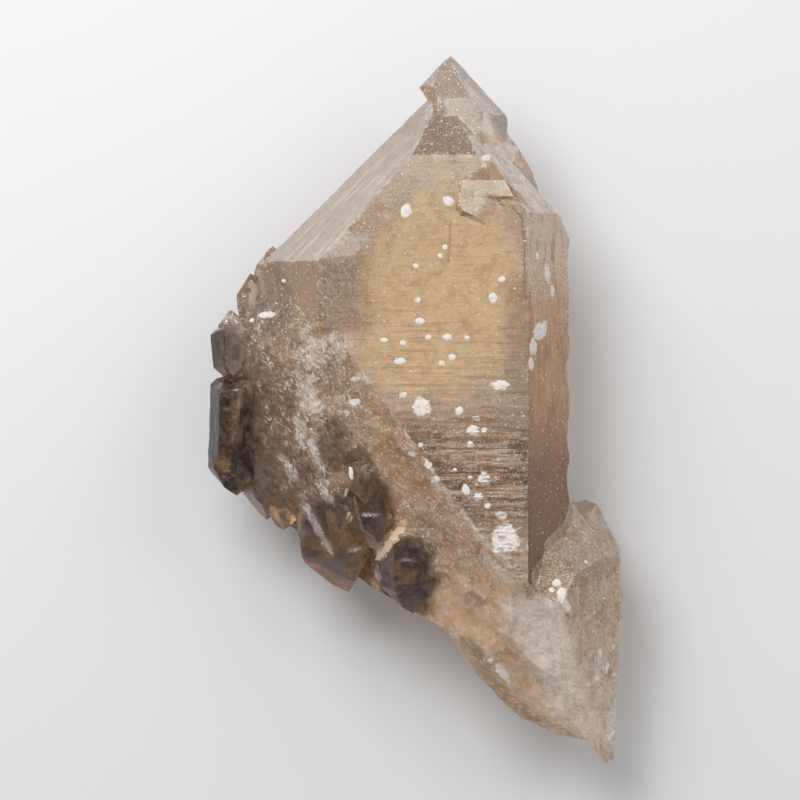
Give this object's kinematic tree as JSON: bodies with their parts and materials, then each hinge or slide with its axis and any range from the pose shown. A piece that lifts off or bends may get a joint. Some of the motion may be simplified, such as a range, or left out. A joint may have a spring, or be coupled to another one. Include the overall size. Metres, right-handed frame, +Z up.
{
  "type": "citrine crystal",
  "caption": "Natural smoky citrine point lying on its back face, with a small crystal over its tip, a side crystal at its foot and a dark crystal group round its broken base.",
  "frame": {"origin": "middle of the bounding box, on the surface that the crystal lies on", "axes": "+Y along the large crystal towards its tip, +Z up out of its front face, +X to the side with the side crystal"},
  "size_m": [0.0998, 0.17, 0.0434],
  "materials": {
    "citrine": "glassy faces, frosted breaks"
  },
  "bodies": {
    "root": {"citrine_crystal": "citrine"}
  },
  "joints": []
}
